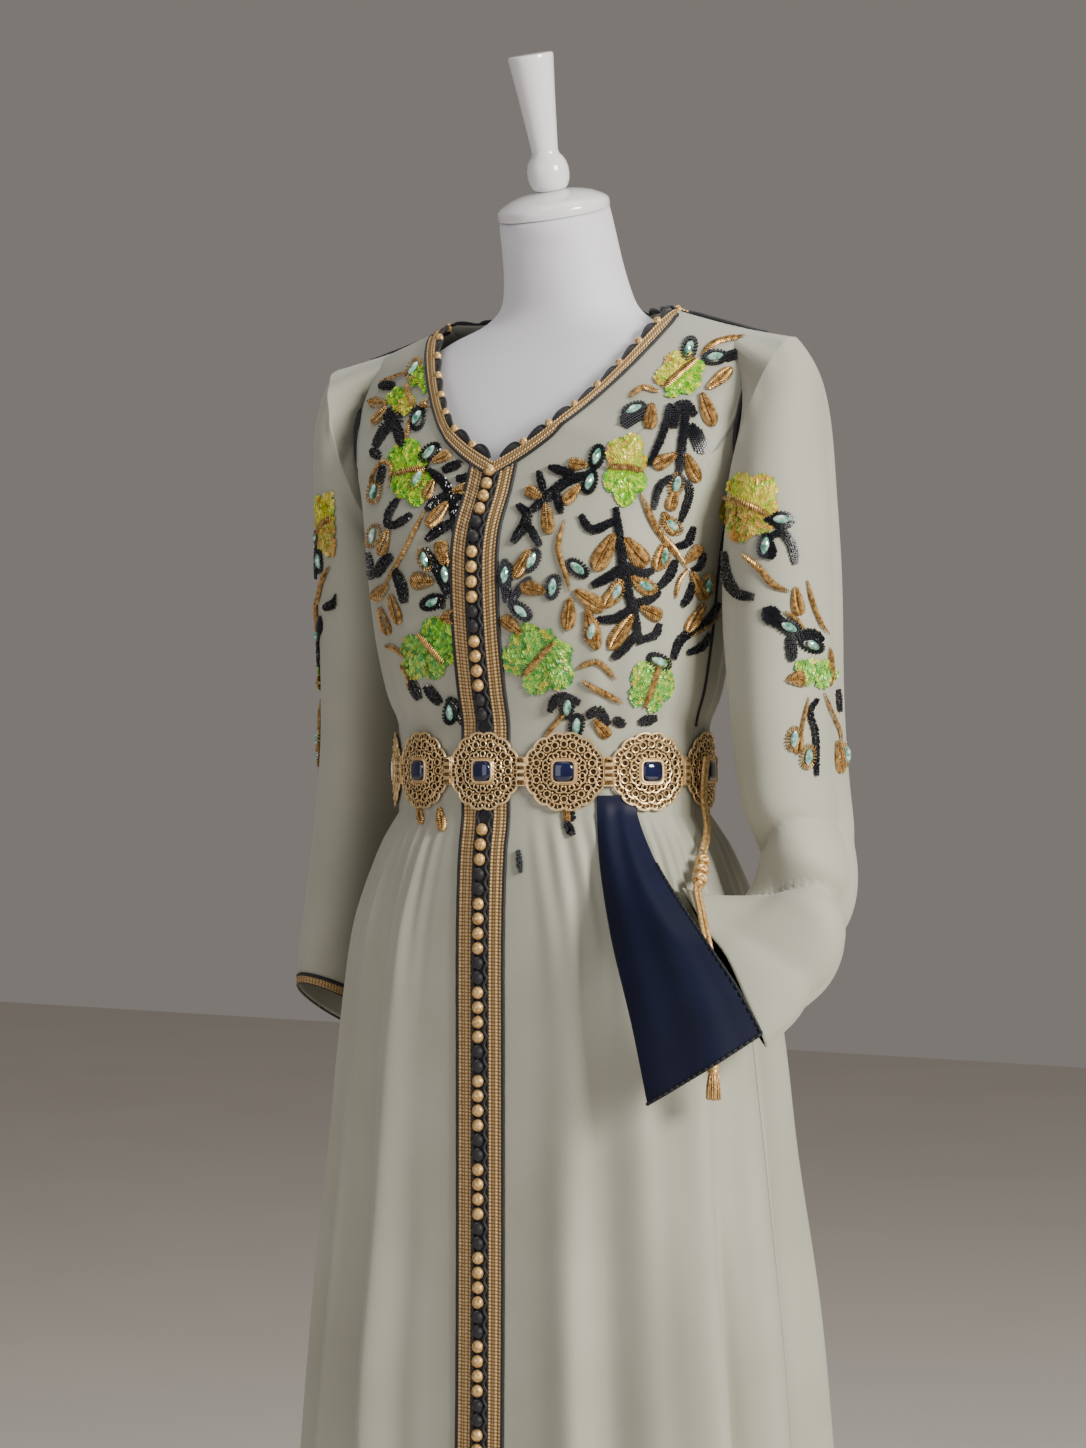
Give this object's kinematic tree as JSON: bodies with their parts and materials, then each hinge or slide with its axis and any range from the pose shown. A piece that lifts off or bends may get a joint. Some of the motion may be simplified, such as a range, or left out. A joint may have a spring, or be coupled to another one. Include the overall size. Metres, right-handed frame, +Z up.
{
  "type": "kaftan on a dress form",
  "caption": "Long belted kaftan with braided front, embroidered bodice and long sleeves, worn by a limbless dress form on a round-based stand.",
  "frame": {"origin": "middle of the stand base's underside, on the floor", "axes": "+Z up, the wearer faces -Y, +X is the wearer's left side"},
  "size_m": [0.557, 0.4049, 1.6677],
  "materials": {
    "sage_crepe": "matte crepe",
    "gold_braid": "metallic thread",
    "black_trim": "matte",
    "navy_satin": "soft satin",
    "belt_gold": "cast filigree",
    "blue_stone": "polished",
    "white_jersey": "matte jersey",
    "white_gloss": "glossy",
    "white_steel": "satin"
  },
  "bodies": {
    "root": {"back": "sage_crepe", "belt_cord_a": "gold_braid", "belt_cord_b": "gold_braid", "belt_link_01": "belt_gold", "belt_link_02": "belt_gold", "belt_link_03": "belt_gold", "belt_link_04": "belt_gold", "belt_link_05": "belt_gold", "belt_link_06": "belt_gold", "belt_link_07": "belt_gold", "belt_link_08": "belt_gold", "belt_link_09": "belt_gold", "belt_link_10": "belt_gold", "belt_link_11": "belt_gold", "belt_medallion_01": "belt_gold", "belt_medallion_02": "belt_gold", "belt_medallion_03": "belt_gold", "belt_medallion_04": "belt_gold", "belt_medallion_05": "belt_gold", "belt_medallion_06": "belt_gold", "belt_medallion_07": "belt_gold", "belt_medallion_08": "belt_gold", "belt_medallion_09": "belt_gold", "belt_medallion_10": "belt_gold", "belt_medallion_11": "belt_gold", "belt_stone_01": "blue_stone", "belt_stone_02": "blue_stone", "belt_stone_03": "blue_stone", "belt_stone_04": "blue_stone", "belt_stone_05": "blue_stone", "belt_stone_06": "blue_stone", "belt_stone_07": "blue_stone", "belt_stone_08": "blue_stone", "belt_stone_09": "blue_stone", "belt_stone_10": "blue_stone", "belt_stone_11": "blue_stone", "cord_knots": "gold_braid", "cord_tassel": "gold_braid", "cuff_braid": "gold_braid", "cuff_lining": "navy_satin", "dress_form": "white_jersey", "form_cap": "white_gloss", "form_finial": "white_gloss", "front_left": "sage_crepe", "front_right": "sage_crepe", "lower_cord_a": "gold_braid", "lower_cord_b": "gold_braid", "neck_braid_back": "gold_braid", "neck_braid_left": "gold_braid", "neck_braid_right": "gold_braid", "placket_braid_left": "gold_braid", "placket_braid_right": "gold_braid", "placket_channel": "black_trim", "sleeve_left": "sage_crepe", "sleeve_right": "sage_crepe", "stand_base": "white_steel", "stand_pole": "white_steel"}
  },
  "joints": []
}
